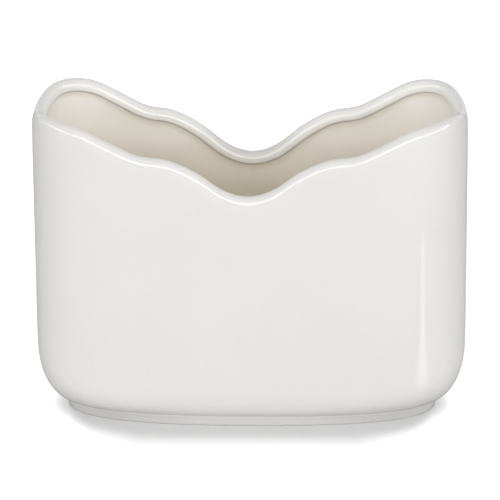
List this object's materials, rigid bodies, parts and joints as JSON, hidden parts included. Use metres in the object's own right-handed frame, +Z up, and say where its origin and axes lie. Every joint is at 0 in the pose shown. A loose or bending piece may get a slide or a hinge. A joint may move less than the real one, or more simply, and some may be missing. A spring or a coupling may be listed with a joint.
{
  "type": "napkin holder",
  "caption": "Upright glazed ceramic napkin holder: a deep oblong cup with rounded ends, a wavy rolled rim that dips at the middle of each long wall, and a stepped-in foot ring.",
  "frame": {"origin": "on the table, under the middle of the foot ring", "axes": "+X along the length, +Y towards the back long wall, +Z up"},
  "size_m": [0.1802, 0.0753, 0.1337],
  "materials": {
    "glazed_body": "clear glossy glaze over an off-white body, bare on the standing ring"
  },
  "bodies": {
    "root": {"holder_body": "glazed_body"}
  },
  "joints": []
}
